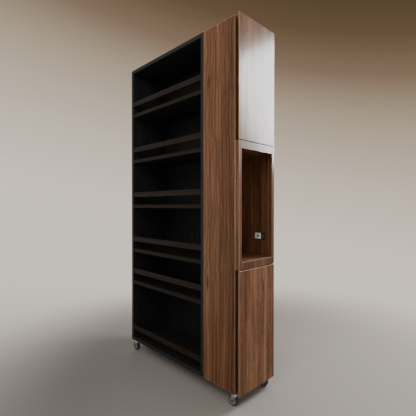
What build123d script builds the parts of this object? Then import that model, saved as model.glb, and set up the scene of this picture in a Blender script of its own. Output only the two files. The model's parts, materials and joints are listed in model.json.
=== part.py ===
# Rolling pantry tower: a narrow walnut cupboard column with an open niche between two doors, backed by a
# deep black shelf unit that opens to the left, all on four swivel castors.
# Frame: millimetres, +Z up, origin on the floor under the middle of the whole cart, doors facing -Y,
# open shelves facing -X.
import os

from build123d import *

os.makedirs("parts", exist_ok=True)

# Overall sizes
body_height = 2100.0
cart_length = 1095.0
cart_width = 335.0

# Boards
walnut_board = 19.0
door_board = 19.0
black_board = 25.0
back_board = 12.0
niche_back_board = 6.0
board_arris = 0.8

# Front: two doors with a framed niche between them
column_depth = 281.0
grip_gap = 10.0
door_bevel = 12.0
door_overhang = 8.0
door_reveal = 4.0
carcass_reveal = 2.0
niche_height = 718.0
niche_stile = 22.0
niche_rail = 44.0

# Shelf unit: shelf tops as shares of the body height, because they divide it into bays
shelf_shares = (0.222, 0.340, 0.503, 0.668, 0.837)
rail_thickness = 12.0
rail_height = 37.0
rail_clear = 58.0

# Loose shelf in each cupboard
loose_shelf_clearance = 1.0
loose_shelf_setback = 46.0
shelf_pin_radius = 2.5
shelf_pin_hold = 9.0
shelf_pin_reach = 7.0
shelf_pin_inset = 32.0

# Finger grip behind each door's opening edge
profile_wall = 1.5
profile_lip = 8.0
profile_reach = 34.0
closing_gap = 0.3
strike_thickness = 1.2
strike_length = 36.0
magnet_depth = 20.0

# Pinned wrap-round hinges
barrel_radius = 3.5
barrel_height = 20.0
barrel_play = 0.3
hinge_end_distance = 95.0
leaf_thickness = 1.2
leaf_wrap = 40.0
leaf_reach = 46.0
hinge_pin_radius = 1.5
running_clearance = 0.04
pin_head_radius = 2.6
pin_head_height = 1.6

# Power outlet on the niche's right wall
outlet_setback = 107.0
outlet_height = 857.0
outlet_face = (47.0, 37.0)
outlet_hole_radius = 8.5
module_face = (24.0, 35.0)
outlet_border = 3.0
outlet_frame_thickness = 2.5
outlet_proud = 1.0
outlet_depth = 12.0
outlet_play = 0.2

# Castors
wheel_diameter = 60.0
wheel_width = 22.0
wheel_clearance = 2.5
wheel_side_play = 1.2
tyre_depth = 7.0
castor_trail = 14.0
fork_sheet = 2.5
fork_wall = 2.0
race_radius = 13.5
race_cup_height = 5.0
race_play = 0.3
dome_height = 7.2
plate_size = 40.0
plate_thickness = 2.5
plate_hole_spacing = 28.0
axle_radius = 3.0
castor_side_inset = 25.0
castor_front_setback = 46.0
castor_rear_setback = 44.0

# Fasteners
long_screw = {"shank": 2.5, "head": 5.0, "length": 58.0}
castor_screw = {"shank": 1.75, "head": 3.4, "length": 16.0, "head_height": 2.0}
hinge_screw = {"shank": 1.4, "head": 2.8, "length": 12.0, "head_height": 1.4}
screw_fit = 0.05
screw_share_of_width = 0.3

# Places worked out from the sizes above
race_height = race_cup_height + race_play + dome_height
castor_height = wheel_diameter + wheel_clearance + fork_sheet + race_height + plate_thickness
left = -cart_width / 2
right = cart_width / 2
front = -cart_length / 2
rear = cart_length / 2
base = castor_height
top = base + body_height
inner_left = left + walnut_board
inner_right = right - walnut_board
door_back = front + door_board
column_front = door_back + grip_gap
carcass_front = door_back + carcass_reveal
column_rear = front + column_depth
divider_rear = column_rear + black_board
end_front = rear - black_board
back_face = right - back_board

front_low = base - door_overhang
front_high = top + door_overhang
door_height = (front_high - front_low - niche_height - 2 * door_reveal) / 2
niche_low = front_low + door_height + door_reveal
niche_high = niche_low + niche_height
niche_floor = niche_low + niche_rail
niche_ceiling = niche_high - niche_rail
shelf_tops = [base + share * body_height for share in shelf_shares]


def save(name, piece):
    piece.part.label = name
    export_step(piece.part, f"parts/{name}.step")


# Pieces that touch each other stay separate solids in one node
def save_group(name, *pieces):
    solids = [solid for piece in pieces for solid in piece.solids()]
    export_step(Compound(label=name, children=solids), f"parts/{name}.step")


# A plane that looks out of a drilled face: its z axis points out of the hole
def facing(x, y, z, direction):
    return Plane(origin=(x, y, z), z_dir=direction)


# A rectangular board with eased edges. Holes are (plane, radius, depth), sinks are planes for long screws and
# pockets are (centre, size).
def board(name, x_span, y_span, z_span, holes=(), sinks=(), pockets=()):
    with BuildPart() as piece:
        with BuildSketch(Plane.XY.offset(z_span[0])):
            with Locations(((x_span[0] + x_span[1]) / 2, (y_span[0] + y_span[1]) / 2)):
                Rectangle(x_span[1] - x_span[0], y_span[1] - y_span[0])
        extrude(amount=z_span[1] - z_span[0])
        chamfer(piece.edges(), board_arris)
        for plane, radius, depth in holes:
            with Locations(plane):
                Hole(radius, depth)
        for plane in sinks:
            with Locations(plane):
                CounterSinkHole(long_screw["shank"] + screw_fit, long_screw["head"], counter_sink_angle=90)
        for centre, size in pockets:
            with Locations(centre):
                Box(*size, mode=Mode.SUBTRACT)
    save(name, piece)


# Countersunk screws with a cross recess, heads flush with the planes they are given
def sunk_screws(name, planes, screw):
    cone = screw["head"] - screw["shank"]
    with BuildPart() as screws:
        with Locations(*planes):
            Cylinder(screw["shank"], screw["length"], align=(Align.CENTER, Align.CENTER, Align.MAX))
            Cone(screw["shank"], screw["head"], cone, align=(Align.CENTER, Align.CENTER, Align.MAX))
            Box(screw["head"], 1, cone, mode=Mode.SUBTRACT)
            Box(1, screw["head"], cone, mode=Mode.SUBTRACT)
    save(name, screws)


# Pan-head screws, heads standing on the planes they are given
def pan_screws(planes, screw):
    low = (Align.CENTER, Align.CENTER, Align.MIN)
    high = (Align.CENTER, Align.CENTER, Align.MAX)
    with Locations(*planes):
        Cylinder(screw["head"], screw["head_height"], align=low)
        Cylinder(screw["shank"], screw["length"], align=high)
    with Locations(*[plane.offset(screw["head_height"]) for plane in planes]):
        Box(screw["head"] * 1.1, 0.7, screw["head_height"], mode=Mode.SUBTRACT)
        Box(0.7, screw["head"] * 1.1, screw["head_height"], mode=Mode.SUBTRACT)


# Black shelf unit -----------------------------------------------------------------------------------------

levels = {"shelf_unit_base": base + black_board, "shelf_unit_top": top}
for number, height in enumerate(shelf_tops, start=1):
    levels[f"shelf_{number}"] = height

screw_columns = [-screw_share_of_width * cart_width, screw_share_of_width * cart_width]
level_centres = [height - black_board / 2 for height in levels.values()]
rail_lows = [height + rail_clear for height in [base + black_board, *shelf_tops]]
rail_centre = left + rail_thickness / 2
screw_points = [(x, z) for z in level_centres for x in screw_columns]
screw_points += [(rail_centre, low + rail_height / 2) for low in rail_lows]
end_planes = [facing(x, rear, z, (0, 1, 0)) for x, z in screw_points]
divider_planes = [facing(x, column_rear, z, (0, -1, 0)) for x, z in screw_points]
board_bite = long_screw["length"] - black_board
long_pilot = long_screw["shank"] + screw_fit
castor_pilot = castor_screw["shank"] + screw_fit
castor_bite = castor_screw["length"]

castor_x = right - castor_side_inset
castor_places = {
    "front_left": (-castor_x, front + castor_front_setback),
    "front_right": (castor_x, front + castor_front_setback),
    "rear_left": (-castor_x, rear - castor_rear_setback),
    "rear_right": (castor_x, rear - castor_rear_setback),
}
half_spacing = plate_hole_spacing / 2
castor_screw_points = [
    (x + dx, y + dy)
    for x, y in castor_places.values()
    for dx in (-half_spacing, half_spacing)
    for dy in (-half_spacing, half_spacing)
]


# Pilot holes for the castor screws that fall on the footprint of one board
def castor_holes(x_span, y_span):
    return [
        (facing(x, y, base, (0, 0, -1)), castor_pilot, castor_bite)
        for x, y in castor_screw_points
        if x_span[0] < x < x_span[1] and y_span[0] < y < y_span[1]
    ]


# Pilot holes in both ends of a piece that is screwed between the divider and the end panel
def end_holes(points):
    holes = []
    for x, z in points:
        holes.append((facing(x, divider_rear, z, (0, -1, 0)), long_pilot, board_bite))
        holes.append((facing(x, end_front, z, (0, 1, 0)), long_pilot, board_bite))
    return holes


bay_span = (divider_rear, end_front)
for name, height in levels.items():
    centre = height - black_board / 2
    outside = name.startswith("shelf_unit")
    x_span = (left, right if outside else back_face)
    holes = end_holes([(x, centre) for x in screw_columns])
    if name == "shelf_unit_base":
        holes += castor_holes(x_span, bay_span)
    board(name, x_span, bay_span, (height - black_board, height), holes)

board(
    "shelf_unit_back",
    (back_face, right),
    bay_span,
    (base + black_board, top - black_board),
)
board("rear_end_panel", (left, right), (end_front, rear), (base, top), sinks=end_planes)
board("divider_panel", (left, right), (column_rear, divider_rear), (base, top), sinks=divider_planes)

for number, low in enumerate(rail_lows, start=1):
    board(
        f"guard_rail_{number}",
        (left, left + rail_thickness),
        bay_span,
        (low, low + rail_height),
        end_holes([(rail_centre, low + rail_height / 2)]),
    )

sunk_screws("shelf_unit_screws", end_planes + divider_planes, long_screw)

# Walnut column --------------------------------------------------------------------------------------------

cupboards = {
    "upper": {
        "door": (niche_high + door_reveal, front_high),
        "inside": (niche_ceiling + walnut_board, top - walnut_board),
    },
    "lower": {
        "door": (front_low, front_low + door_height),
        "inside": (base + walnut_board, niche_floor - walnut_board),
    },
}
loose_front = column_front + loose_shelf_setback
loose_span = (loose_front, column_rear - loose_shelf_clearance)
pin_rows = (loose_span[0] + shelf_pin_inset, loose_span[1] - shelf_pin_inset)
loose_lows = {
    name: (spans["inside"][0] + spans["inside"][1] - walnut_board) / 2 for name, spans in cupboards.items()
}
pin_play = 0.1
pin_points = [(y, low - shelf_pin_radius - pin_play) for low in loose_lows.values() for y in pin_rows]

# Hinge heights, the axis they share and the screw rows
barrel_x = right - barrel_radius
barrel_y = door_back + grip_gap / 2
leaf_half = 1.5 * barrel_height
hinge_heights = {
    name: (spans["door"][0] + hinge_end_distance, spans["door"][1] - hinge_end_distance)
    for name, spans in cupboards.items()
}
all_hinge_heights = [height for pair in hinge_heights.values() for height in pair]
leaf_screw_offset = 0.6 * leaf_half
wrap_screw_y = column_front + leaf_wrap / 2
reach_screw_x = barrel_x - 0.65 * leaf_reach
hinge_pilot = hinge_screw["shank"] + screw_fit
wrap_planes = [
    facing(inner_right - leaf_thickness, wrap_screw_y, height + side * leaf_screw_offset, (-1, 0, 0))
    for height in all_hinge_heights
    for side in (-1, 1)
]

outlet_z = base + outlet_height
outlet_y = front + outlet_setback
module_y = outlet_y - outlet_face[0] / 2 - outlet_border - module_face[0] / 2
cover_low_y = module_y - module_face[0] / 2 - outlet_border
cover_high_y = outlet_y + outlet_face[0] / 2 + outlet_border
cover_height = outlet_face[1] + 2 * outlet_border
cover_centre_y = (cover_low_y + cover_high_y) / 2
pocket = (
    (inner_right + outlet_depth / 2, cover_centre_y, outlet_z),
    (outlet_depth + 1, cover_high_y - cover_low_y - 2 * outlet_border + 1, outlet_face[1] + 1),
)

side_span = (column_front, column_rear)
pin_bore = (shelf_pin_radius, shelf_pin_hold)
left_pins = [(facing(inner_left, y, z, (1, 0, 0)), *pin_bore) for y, z in pin_points]
right_pins = [(facing(inner_right, y, z, (-1, 0, 0)), *pin_bore) for y, z in pin_points]
wrap_holes = [(plane.offset(-leaf_thickness), hinge_pilot, hinge_screw["length"]) for plane in wrap_planes]
board(
    "column_left_panel",
    (left, inner_left),
    side_span,
    (base, top),
    left_pins + castor_holes((left, inner_left), side_span),
)
board(
    "column_right_panel",
    (inner_right, right),
    side_span,
    (base, top),
    right_pins + castor_holes((inner_right, right), side_span) + wrap_holes,
    pockets=[pocket],
)

inside = (inner_left, inner_right)
bottom_span = (carcass_front, column_rear)
board(
    "column_bottom_board",
    inside,
    bottom_span,
    (base, base + walnut_board),
    castor_holes(inside, bottom_span),
)
board("column_top_board", inside, bottom_span, (top - walnut_board, top))
board("niche_bottom_board", inside, (column_front, column_rear), (niche_floor - walnut_board, niche_floor))
board("niche_top_board", inside, (column_front, column_rear), (niche_ceiling, niche_ceiling + walnut_board))
board("niche_back_panel", inside, (column_rear - niche_back_board, column_rear), (niche_floor, niche_ceiling))

for name, low in loose_lows.items():
    board(
        f"{name}_cupboard_shelf",
        (inner_left + loose_shelf_clearance, inner_right - loose_shelf_clearance),
        loose_span,
        (low, low + walnut_board),
    )

with BuildPart() as shelf_support_pins:
    pin_length = shelf_pin_hold + shelf_pin_reach
    with Locations(*[facing(inner_left + shelf_pin_reach, y, z, (1, 0, 0)) for y, z in pin_points]):
        Cylinder(shelf_pin_radius, pin_length, align=(Align.CENTER, Align.CENTER, Align.MAX))
    with Locations(*[facing(inner_right - shelf_pin_reach, y, z, (-1, 0, 0)) for y, z in pin_points]):
        Cylinder(shelf_pin_radius, pin_length, align=(Align.CENTER, Align.CENTER, Align.MAX))
save("shelf_support_pins", shelf_support_pins)

# Niche frame: four members, as deep as the door and the grip gap together
with BuildPart() as niche_stiles:
    frame_depth = column_front - front
    stile_x = cart_width / 2 - niche_stile / 2
    with BuildSketch(Plane.XZ.offset(-column_front)):
        with Locations((-stile_x, niche_low + niche_height / 2), (stile_x, niche_low + niche_height / 2)):
            Rectangle(niche_stile, niche_height)
    extrude(amount=frame_depth)
    chamfer(niche_stiles.edges(), board_arris)
with BuildPart() as niche_rails:
    rail_length = cart_width - 2 * niche_stile
    rail_offset = niche_height / 2 - niche_rail / 2
    with BuildSketch(Plane.XZ.offset(-column_front)):
        with Locations((0, niche_low + niche_rail / 2), (0, niche_high - niche_rail / 2)):
            Rectangle(rail_length, niche_rail)
    extrude(amount=frame_depth)
    chamfer(niche_rails.edges(), board_arris)
save_group("niche_frame", niche_stiles, niche_rails)

# Finger grip profiles and the magnets behind their lips
profile_front = door_back + strike_thickness + closing_gap
profile_spans = {
    "upper": (niche_high + board_arris, top - walnut_board),
    "lower": (base + walnut_board, niche_low - board_arris),
}
for name, (low, high) in profile_spans.items():
    with BuildPart() as profile:
        with BuildSketch(Plane.XY.offset(low)):
            with BuildLine():
                Polyline(
                    (inner_left, profile_front),
                    (inner_left + profile_wall + profile_lip, profile_front),
                    (inner_left + profile_wall + profile_lip, profile_front + profile_wall),
                    (inner_left + profile_wall, profile_front + profile_wall),
                    (inner_left + profile_wall, column_front + profile_reach),
                    (inner_left, column_front + profile_reach),
                    close=True,
                )
            make_face()
        extrude(amount=high - low)
    save(f"{name}_grip_profile", profile)

strike_x = inner_left + profile_wall + profile_lip / 2
strike_heights = {name: (spans["door"][0] + spans["door"][1]) / 2 for name, spans in cupboards.items()}
with BuildPart() as magnet_catches:
    with Locations(
        *[
            (strike_x, profile_front + profile_wall + magnet_depth / 2, height)
            for height in strike_heights.values()
        ]
    ):
        Box(profile_lip, magnet_depth, strike_length)
    chamfer(magnet_catches.edges().filter_by(Axis.Z), 0.6)
save("magnet_catches", magnet_catches)

# Doors: a plain slab whose opening edge is bevelled behind, and its steel fittings
for name, spans in cupboards.items():
    door_low, door_high = spans["door"]
    reach_planes = [
        facing(reach_screw_x, door_back + leaf_thickness, height + side * leaf_screw_offset, (0, 1, 0))
        for height in hinge_heights[name]
        for side in (-1, 1)
    ]
    with BuildPart() as door:
        with BuildSketch(Plane.XY.offset(door_low)):
            with BuildLine():
                Polyline(
                    (left, front),
                    (right, front),
                    (right, door_back),
                    (left + door_bevel, door_back),
                    (left, door_back - door_bevel),
                    close=True,
                )
            make_face()
        extrude(amount=door_high - door_low)
        chamfer(door.edges(), board_arris)
        with Locations(*[plane.offset(-leaf_thickness) for plane in reach_planes]):
            Hole(hinge_pilot, hinge_screw["length"])
    save(f"{name}_door_panel", door)

    with BuildPart() as fittings:
        for height in hinge_heights[name]:
            with Locations((barrel_x - leaf_reach / 2, door_back + leaf_thickness / 2, height)):
                Box(leaf_reach, leaf_thickness, 2 * leaf_half)
            for side in (-1, 1):
                barrel_z = height + side * barrel_height
                with Locations((barrel_x - barrel_radius / 2, (door_back + barrel_y) / 2, barrel_z)):
                    Box(barrel_radius, barrel_y - door_back, barrel_height - barrel_play)
                with Locations((barrel_x, barrel_y, barrel_z)):
                    Cylinder(barrel_radius, barrel_height - barrel_play)
            with Locations((barrel_x, barrel_y, height + leaf_half)):
                Hole(hinge_pin_radius + running_clearance, 2 * leaf_half)
        with Locations(*reach_planes):
            Hole(hinge_pilot, 2 * leaf_thickness)
    with BuildPart() as fitting_screws:
        pan_screws(reach_planes, hinge_screw)
    with BuildPart() as strike:
        with Locations((strike_x, door_back + strike_thickness / 2, strike_heights[name])):
            Box(profile_lip, strike_thickness, strike_length)
        chamfer(strike.edges().filter_by(Axis.Y), 1)
    save_group(f"{name}_door_fittings", fittings, fitting_screws, strike)

# Hinge leaves on the carcass wrap round the right side panel's front edge
with BuildPart() as carcass_hinge_leaves:
    for height in all_hinge_heights:
        strip_length = barrel_x - inner_right + leaf_thickness
        with Locations((barrel_x - strip_length / 2, column_front - leaf_thickness / 2, height)):
            Box(strip_length, leaf_thickness, 2 * leaf_half)
        with Locations((inner_right - leaf_thickness / 2, column_front + leaf_wrap / 2, height)):
            Box(leaf_thickness, leaf_wrap, 2 * leaf_half)
        with Locations((barrel_x - barrel_radius / 2, (barrel_y + column_front) / 2, height)):
            Box(barrel_radius, column_front - barrel_y, barrel_height - barrel_play)
        with Locations((barrel_x, barrel_y, height)):
            Cylinder(barrel_radius, barrel_height - barrel_play)
        with Locations((barrel_x, barrel_y, height + barrel_height)):
            Hole(hinge_pin_radius + running_clearance, 2 * barrel_height)
    with Locations(*wrap_planes):
        Hole(hinge_pilot, 2 * leaf_thickness)
save("carcass_hinge_leaves", carcass_hinge_leaves)

with BuildPart() as carcass_hinge_screws:
    pan_screws(wrap_planes, hinge_screw)
save("carcass_hinge_screws", carcass_hinge_screws)

with BuildPart() as hinge_pins:
    head_offset = leaf_half + barrel_play + pin_head_height / 2
    for height in all_hinge_heights:
        with Locations((barrel_x, barrel_y, height)):
            Cylinder(hinge_pin_radius, 2 * (leaf_half + barrel_play))
        for side in (-1, 1):
            with Locations((barrel_x, barrel_y, height + side * head_offset)):
                Cylinder(pin_head_radius, pin_head_height)
save("hinge_pins", hinge_pins)

# Power outlet: a thin cover with a round socket and a charging module in it
cover_x = inner_right - outlet_frame_thickness
with BuildPart() as outlet_frame:
    with Locations((inner_right - outlet_frame_thickness / 2, cover_centre_y, outlet_z)):
        Box(outlet_frame_thickness, cover_high_y - cover_low_y, cover_height)
    chamfer(outlet_frame.faces().sort_by(Axis.X)[0].edges(), 0.8)
    with Locations((inner_right, outlet_y, outlet_z)):
        Box(3 * outlet_frame_thickness, *outlet_face, mode=Mode.SUBTRACT)
    with Locations((inner_right, module_y, outlet_z)):
        Box(3 * outlet_frame_thickness, *module_face, mode=Mode.SUBTRACT)
save("outlet_frame", outlet_frame)

insert_depth = outlet_frame_thickness + outlet_proud + outlet_depth - 1
insert_x = cover_x - outlet_proud + insert_depth / 2
with BuildPart() as outlet_socket:
    with Locations((insert_x, outlet_y, outlet_z)):
        Box(insert_depth, outlet_face[0] - outlet_play, outlet_face[1] - outlet_play)
    chamfer(outlet_socket.faces().sort_by(Axis.X)[0].edges(), 1)
    with Locations(facing(cover_x - outlet_proud, outlet_y, outlet_z, (-1, 0, 0))):
        Hole(outlet_hole_radius, insert_depth - 3)
save("outlet_socket", outlet_socket)

with BuildPart() as outlet_charging_module:
    with Locations((insert_x, module_y, outlet_z)):
        Box(insert_depth, module_face[0] - outlet_play, module_face[1] - outlet_play)
    chamfer(outlet_charging_module.faces().sort_by(Axis.X)[0].edges(), 1)
    port_offset = module_face[1] / 5
    with Locations(
        (cover_x - outlet_proud, module_y, outlet_z - port_offset),
        (cover_x - outlet_proud, module_y, outlet_z + port_offset),
    ):
        Box(insert_depth, module_face[0] / 2, 4.5, mode=Mode.SUBTRACT)
save("outlet_charging_module", outlet_charging_module)

# Castors --------------------------------------------------------------------------------------------------

wheel_radius = wheel_diameter / 2
crown_low = wheel_diameter + wheel_clearance
crown_high = crown_low + fork_sheet
race_top = crown_high + race_cup_height
dome_low = race_top + race_play
plate_low = dome_low + dome_height
fork_half = wheel_width / 2 + wheel_side_play + fork_wall
core_radius = wheel_radius - tyre_depth
axle_boss = 8.0
kingpin_radius = 3.0
kingpin_head = (6.0, 2.6)
kingpin_flare = 1.8
axle_head = (5.5, 3.0)


# The swivelling fork: a pressed sheet folded down both sides of the wheel, with the race cup on its crown
def fork(name, x, y):
    side_plane = Plane(origin=(x - fork_half, y, 0), x_dir=(0, 1, 0), z_dir=(1, 0, 0))
    with BuildPart() as piece:
        with BuildSketch(side_plane):
            with Locations((castor_trail, wheel_radius)):
                Circle(axle_boss)
            with Locations((castor_trail / 4, crown_high - fork_sheet / 2)):
                Rectangle(2 * race_radius + castor_trail / 2, fork_sheet)
            make_hull()
        extrude(amount=2 * fork_half)
        fillet(piece.edges().filter_by(Axis.Y).group_by(Axis.Z)[-1], fork_sheet)
        with BuildSketch(Plane.XY):
            with Locations((x, y + castor_trail)):
                Rectangle(2 * (fork_half - fork_wall), 3 * wheel_diameter)
        extrude(amount=crown_low, mode=Mode.SUBTRACT)
        with BuildSketch(Plane.XY.offset(crown_high - fork_sheet / 2)):
            with Locations((x, y)):
                Circle(race_radius)
        extrude(amount=race_cup_height + fork_sheet / 2)
        with Locations((x, y, race_top)):
            Hole(kingpin_radius + running_clearance, race_top - crown_low + 1)
        with Locations(facing(x - fork_half, y + castor_trail, wheel_radius, (-1, 0, 0))):
            Hole(axle_radius, 2 * fork_half)
    save(name, piece)


# The wheel's axle: a bolt through both legs of the fork with a nut on the far side
def axle(name, x, y):
    head_plane = facing(x - fork_half, y, wheel_radius, (-1, 0, 0))
    nut_plane = facing(x + fork_half, y, wheel_radius, (1, 0, 0))
    with BuildPart() as piece:
        with BuildSketch(head_plane):
            RegularPolygon(axle_head[0], 6)
        extrude(amount=axle_head[1])
        with BuildSketch(nut_plane):
            RegularPolygon(axle_head[0], 6)
        extrude(amount=axle_head[1])
        with BuildSketch(head_plane):
            Circle(axle_radius)
        extrude(amount=-2 * fork_half - axle_head[1] - 1)
    save(name, piece)


# Half section of a wheel part, drawn with its length along X and its radius upwards, turned about the axle
def wheel_plane(x, y):
    return Plane(origin=(x, y, wheel_radius), x_dir=(1, 0, 0), z_dir=(0, -1, 0))


def wheel_core(name, x, y):
    half = wheel_width / 2
    hub_radius = 7.5
    rim_inner = core_radius - 3.5
    dish = 2.0
    with BuildPart() as piece:
        with BuildSketch(wheel_plane(x, y)):
            with BuildLine():
                Polyline(
                    (-half, axle_radius + running_clearance),
                    (-half, hub_radius),
                    (-half + dish + 1, hub_radius + 1),
                    (-half + dish + 1, rim_inner - 1),
                    (-half + 1, rim_inner),
                    (-half + 1, core_radius),
                    (half - 1, core_radius),
                    (half - 1, rim_inner),
                    (half - dish - 1, rim_inner - 1),
                    (half - dish - 1, hub_radius + 1),
                    (half, hub_radius),
                    (half, axle_radius + running_clearance),
                    close=True,
                )
            make_face()
        revolve(axis=Axis((x, y, wheel_radius), (1, 0, 0)))
    save(name, piece)


def tyre(name, x, y):
    with BuildPart() as piece:
        with BuildSketch(wheel_plane(x, y)):
            with Locations((0, wheel_radius - tyre_depth / 2)):
                section = Rectangle(wheel_width, tyre_depth)
            fillet(section.vertices().group_by(Axis.Y)[-1], tyre_depth * 0.6)
        revolve(axis=Axis((x, y, wheel_radius), (1, 0, 0)))
    save(name, piece)


for place, (x, y) in castor_places.items():
    fork(f"{place}_fork", x, y)
    axle(f"{place}_axle", x, y + castor_trail)
    wheel_core(f"{place}_wheel", x, y + castor_trail)
    tyre(f"{place}_tyre", x, y + castor_trail)

castor_points = list(castor_places.values())
castor_screw_planes = [facing(x, y, plate_low, (0, 0, -1)) for x, y in castor_screw_points]
with BuildPart() as castor_plates:
    with BuildSketch(Plane.XY.offset(plate_low)):
        with Locations(*castor_points):
            RectangleRounded(plate_size, plate_size, 4)
    extrude(amount=plate_thickness)
    with Locations(*[(x, y, dome_low + dome_height / 2) for x, y in castor_points]):
        Cone(race_radius - 1.5, race_radius + 0.5, dome_height)
    with Locations(*[(x, y, base) for x, y in castor_points]):
        CounterSinkHole(
            kingpin_radius,
            kingpin_radius + kingpin_flare,
            plate_thickness + dome_height + 1,
            counter_sink_angle=90,
        )
    with Locations(*castor_screw_planes):
        Hole(castor_pilot, 2 * plate_thickness)
save("castor_plates", castor_plates)

with BuildPart() as castor_kingpins:
    shaft_low = crown_low - race_play
    with Locations(*[(x, y, shaft_low) for x, y in castor_points]):
        Cylinder(kingpin_head[0], kingpin_head[1], align=(Align.CENTER, Align.CENTER, Align.MAX))
        Cylinder(kingpin_radius, base - shaft_low, align=(Align.CENTER, Align.CENTER, Align.MIN))
    with Locations(*[(x, y, base) for x, y in castor_points]):
        Cone(
            kingpin_radius,
            kingpin_radius + kingpin_flare,
            kingpin_flare,
            align=(Align.CENTER, Align.CENTER, Align.MAX),
        )
save("castor_kingpins", castor_kingpins)

with BuildPart() as castor_screws:
    pan_screws(castor_screw_planes, castor_screw)
save("castor_screws", castor_screws)
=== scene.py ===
import json
import math

import bmesh
import bpy
from mathutils import Euler, Matrix, Vector


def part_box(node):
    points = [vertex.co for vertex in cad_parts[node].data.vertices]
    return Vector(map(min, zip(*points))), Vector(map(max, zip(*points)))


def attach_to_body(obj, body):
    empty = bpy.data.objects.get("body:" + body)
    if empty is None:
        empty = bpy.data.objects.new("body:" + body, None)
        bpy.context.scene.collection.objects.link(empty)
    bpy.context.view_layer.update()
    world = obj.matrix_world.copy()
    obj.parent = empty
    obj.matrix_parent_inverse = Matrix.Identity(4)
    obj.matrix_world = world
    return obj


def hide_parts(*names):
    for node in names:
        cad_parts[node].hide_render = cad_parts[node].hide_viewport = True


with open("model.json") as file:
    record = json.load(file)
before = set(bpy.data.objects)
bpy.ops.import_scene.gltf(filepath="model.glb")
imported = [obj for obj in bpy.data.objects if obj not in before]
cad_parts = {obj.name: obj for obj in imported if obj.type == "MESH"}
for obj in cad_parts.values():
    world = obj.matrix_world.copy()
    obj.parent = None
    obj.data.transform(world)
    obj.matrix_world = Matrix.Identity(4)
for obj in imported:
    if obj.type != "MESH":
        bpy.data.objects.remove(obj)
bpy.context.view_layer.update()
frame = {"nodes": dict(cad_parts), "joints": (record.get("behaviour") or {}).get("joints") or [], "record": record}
nodes = frame["nodes"]
joints = {joint["name"]: joint for joint in frame["joints"]}
castorPlaces = ("front_left", "front_right", "rear_left", "rear_right")


# Adds a node; a socket given as an input is linked, any other value is set on the input
def addNode(tree, kind, inputs=None, **settings):
    node = tree.nodes.new(kind)
    for key, value in settings.items():
        setattr(node, key, value)
    for key, value in (inputs or {}).items():
        if isinstance(value, bpy.types.NodeSocket):
            tree.links.new(value, node.inputs[key])
        else:
            node.inputs[key].default_value = value
    return node


def addMath(tree, operation, first, second=0.5, third=0.5, clamp=False):
    inputs = {0: first, 1: second, 2: third}
    return addNode(tree, "ShaderNodeMath", inputs, operation=operation, use_clamp=clamp).outputs[0]


def addVectorMath(tree, operation, first, second=(0, 0, 0), output="Vector"):
    return addNode(tree, "ShaderNodeVectorMath", {0: first, 1: second}, operation=operation).outputs[output]


def mixColour(tree, factor, first, second):
    return addNode(tree, "ShaderNodeMix", {0: factor, 6: first, 7: second}, data_type="RGBA").outputs[2]


def noiseAt(tree, vector, scale, detail=2.0, roughness=0.5):
    sockets = {"Vector": vector, "Scale": scale, "Detail": detail, "Roughness": roughness}
    return addNode(tree, "ShaderNodeTexNoise", sockets).outputs["Fac"]


# Noise that runs on along Z, the more so the smaller its share of Z
def fibreNoise(tree, vector, zShare, scale, detail=2.0, roughness=0.5):
    along = addVectorMath(tree, "MULTIPLY", vector, (1.0, 1.0, zShare))
    return noiseAt(tree, along, scale, detail, roughness)


# The value of a noise less its middle, times a reach
def swayOf(tree, noise, reach):
    return addMath(tree, "MULTIPLY", addMath(tree, "SUBTRACT", noise, 0.5), reach)


# Steps smoothly from one value to another between two edges
def ramped(tree, value, low, high, fromValue=0.0, toValue=1.0):
    sockets = {"Value": value, "From Min": low, "From Max": high, "To Min": fromValue, "To Max": toValue}
    return addNode(tree, "ShaderNodeMapRange", sockets, interpolation_type="SMOOTHSTEP").outputs["Result"]


def fillRamp(ramp, stops):
    while len(ramp.elements) < len(stops):
        ramp.elements.new(1.0)
    for element, (place, colour) in zip(ramp.elements, stops):
        element.position = place
        element.color = colour


# A node group; an input is given as its starting value, which tells its type, or as the name of its type
def newGroup(name, inputs, outputs, kind="ShaderNodeTree"):
    tree = bpy.data.node_groups.new(name, kind)
    for label, value in inputs.items():
        typeName = value
        if not isinstance(value, str):
            sizes = {3: "Vector", 4: "Color"}
            typeName = sizes[len(value)] if isinstance(value, tuple) else type(value).__name__.capitalize()
        socket = tree.interface.new_socket(label, in_out="INPUT", socket_type="NodeSocket" + typeName)
        if typeName != value:
            socket.default_value = value
    for label, typeName in outputs.items():
        tree.interface.new_socket(label, in_out="OUTPUT", socket_type="NodeSocket" + typeName)
    return tree, tree.nodes.new("NodeGroupInput").outputs, tree.nodes.new("NodeGroupOutput")


def finishGroup(tree, exitNode, results):
    for label, socket in results.items():
        tree.links.new(socket, exitNode.inputs[label])
    return tree


def placeGroup(tree, group, inputs):
    return addNode(tree, "ShaderNodeGroup", inputs, node_tree=group).outputs


# Noises of the wood as (share of Z, scale, detail, roughness); each layer ends with its weight in the tone
woodLook = {
    "layers": {
        "broad": (0.035, 17.0, 3.0, 0.55, 1.15),
        "narrow": (0.02, 70.0, 4.0, 0.62, 0.58),
        "fine": (0.012, 290.0, 3.0, 0.6, 0.36),
        "fibres": (0.012, 900.0, 2.0, 0.6, 0.4),
    },
    "streakEdges": (0.32, 0.68),
    "lines": (0.01, 120.0),
    "lineEdges": (0.57, 0.7),
    "pores": (0.03, 1400.0, 1.0),
    "poreEdges": (0.58, 0.68),
    "poreDepth": 0.7,
    "rings": {"Scale": 13.0, "Distortion": 3.4, "Detail": 3.0, "Detail Scale": 1.2},
    "wander": 0.05,
}


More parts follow.
